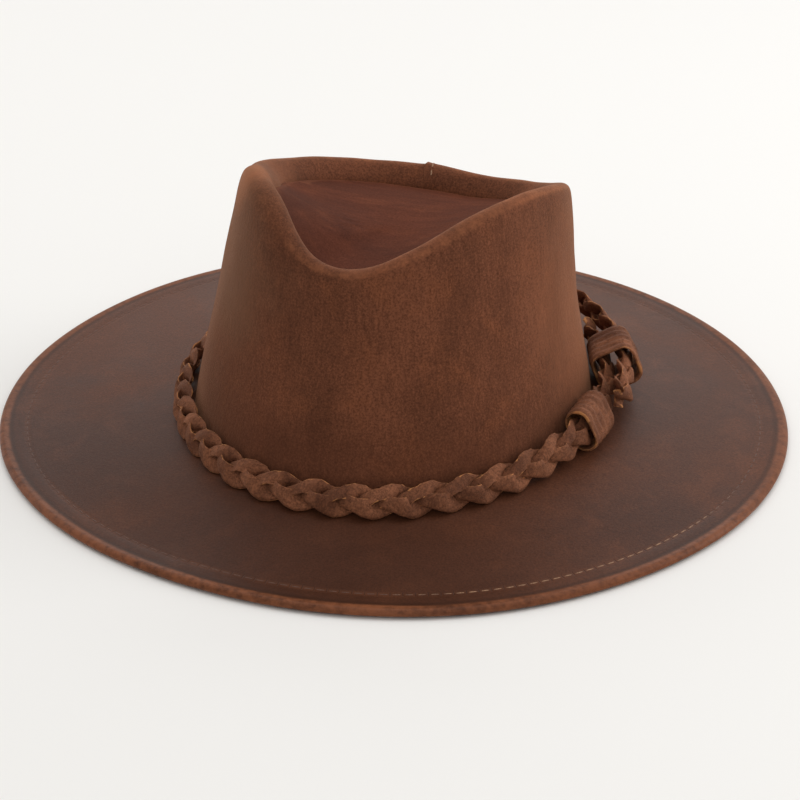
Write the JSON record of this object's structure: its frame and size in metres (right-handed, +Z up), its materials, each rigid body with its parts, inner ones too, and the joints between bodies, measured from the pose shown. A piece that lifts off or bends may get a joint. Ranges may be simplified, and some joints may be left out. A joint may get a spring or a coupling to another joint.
{
  "type": "leather bush hat",
  "caption": "Wide-brimmed leather bush hat with a dipped front, a sunken oval tip and a plaited band held by wrapped loops.",
  "frame": {"origin": "middle of the hat on the plane that its hem rests on", "axes": "+Z up through the crown, -Y towards the front of the hat, +X towards the wearer's left side, where the band's loops are"},
  "size_m": [0.3552, 0.3492, 0.1311],
  "materials": {
    "brim_leather": "oiled, dark brown",
    "crown_leather": "oiled nap, reddish brown",
    "tip_leather": "oiled, reddish brown",
    "band_leather": "oiled strips, mid brown"
  },
  "bodies": {
    "root": {"brim": "brim_leather", "crown_side": "crown_leather", "crown_tip": "tip_leather", "plait_strand_1": "band_leather", "plait_strand_2": "band_leather", "plait_strand_3": "band_leather", "band_loop_front": "band_leather", "band_loop_back": "band_leather"}
  },
  "joints": []
}
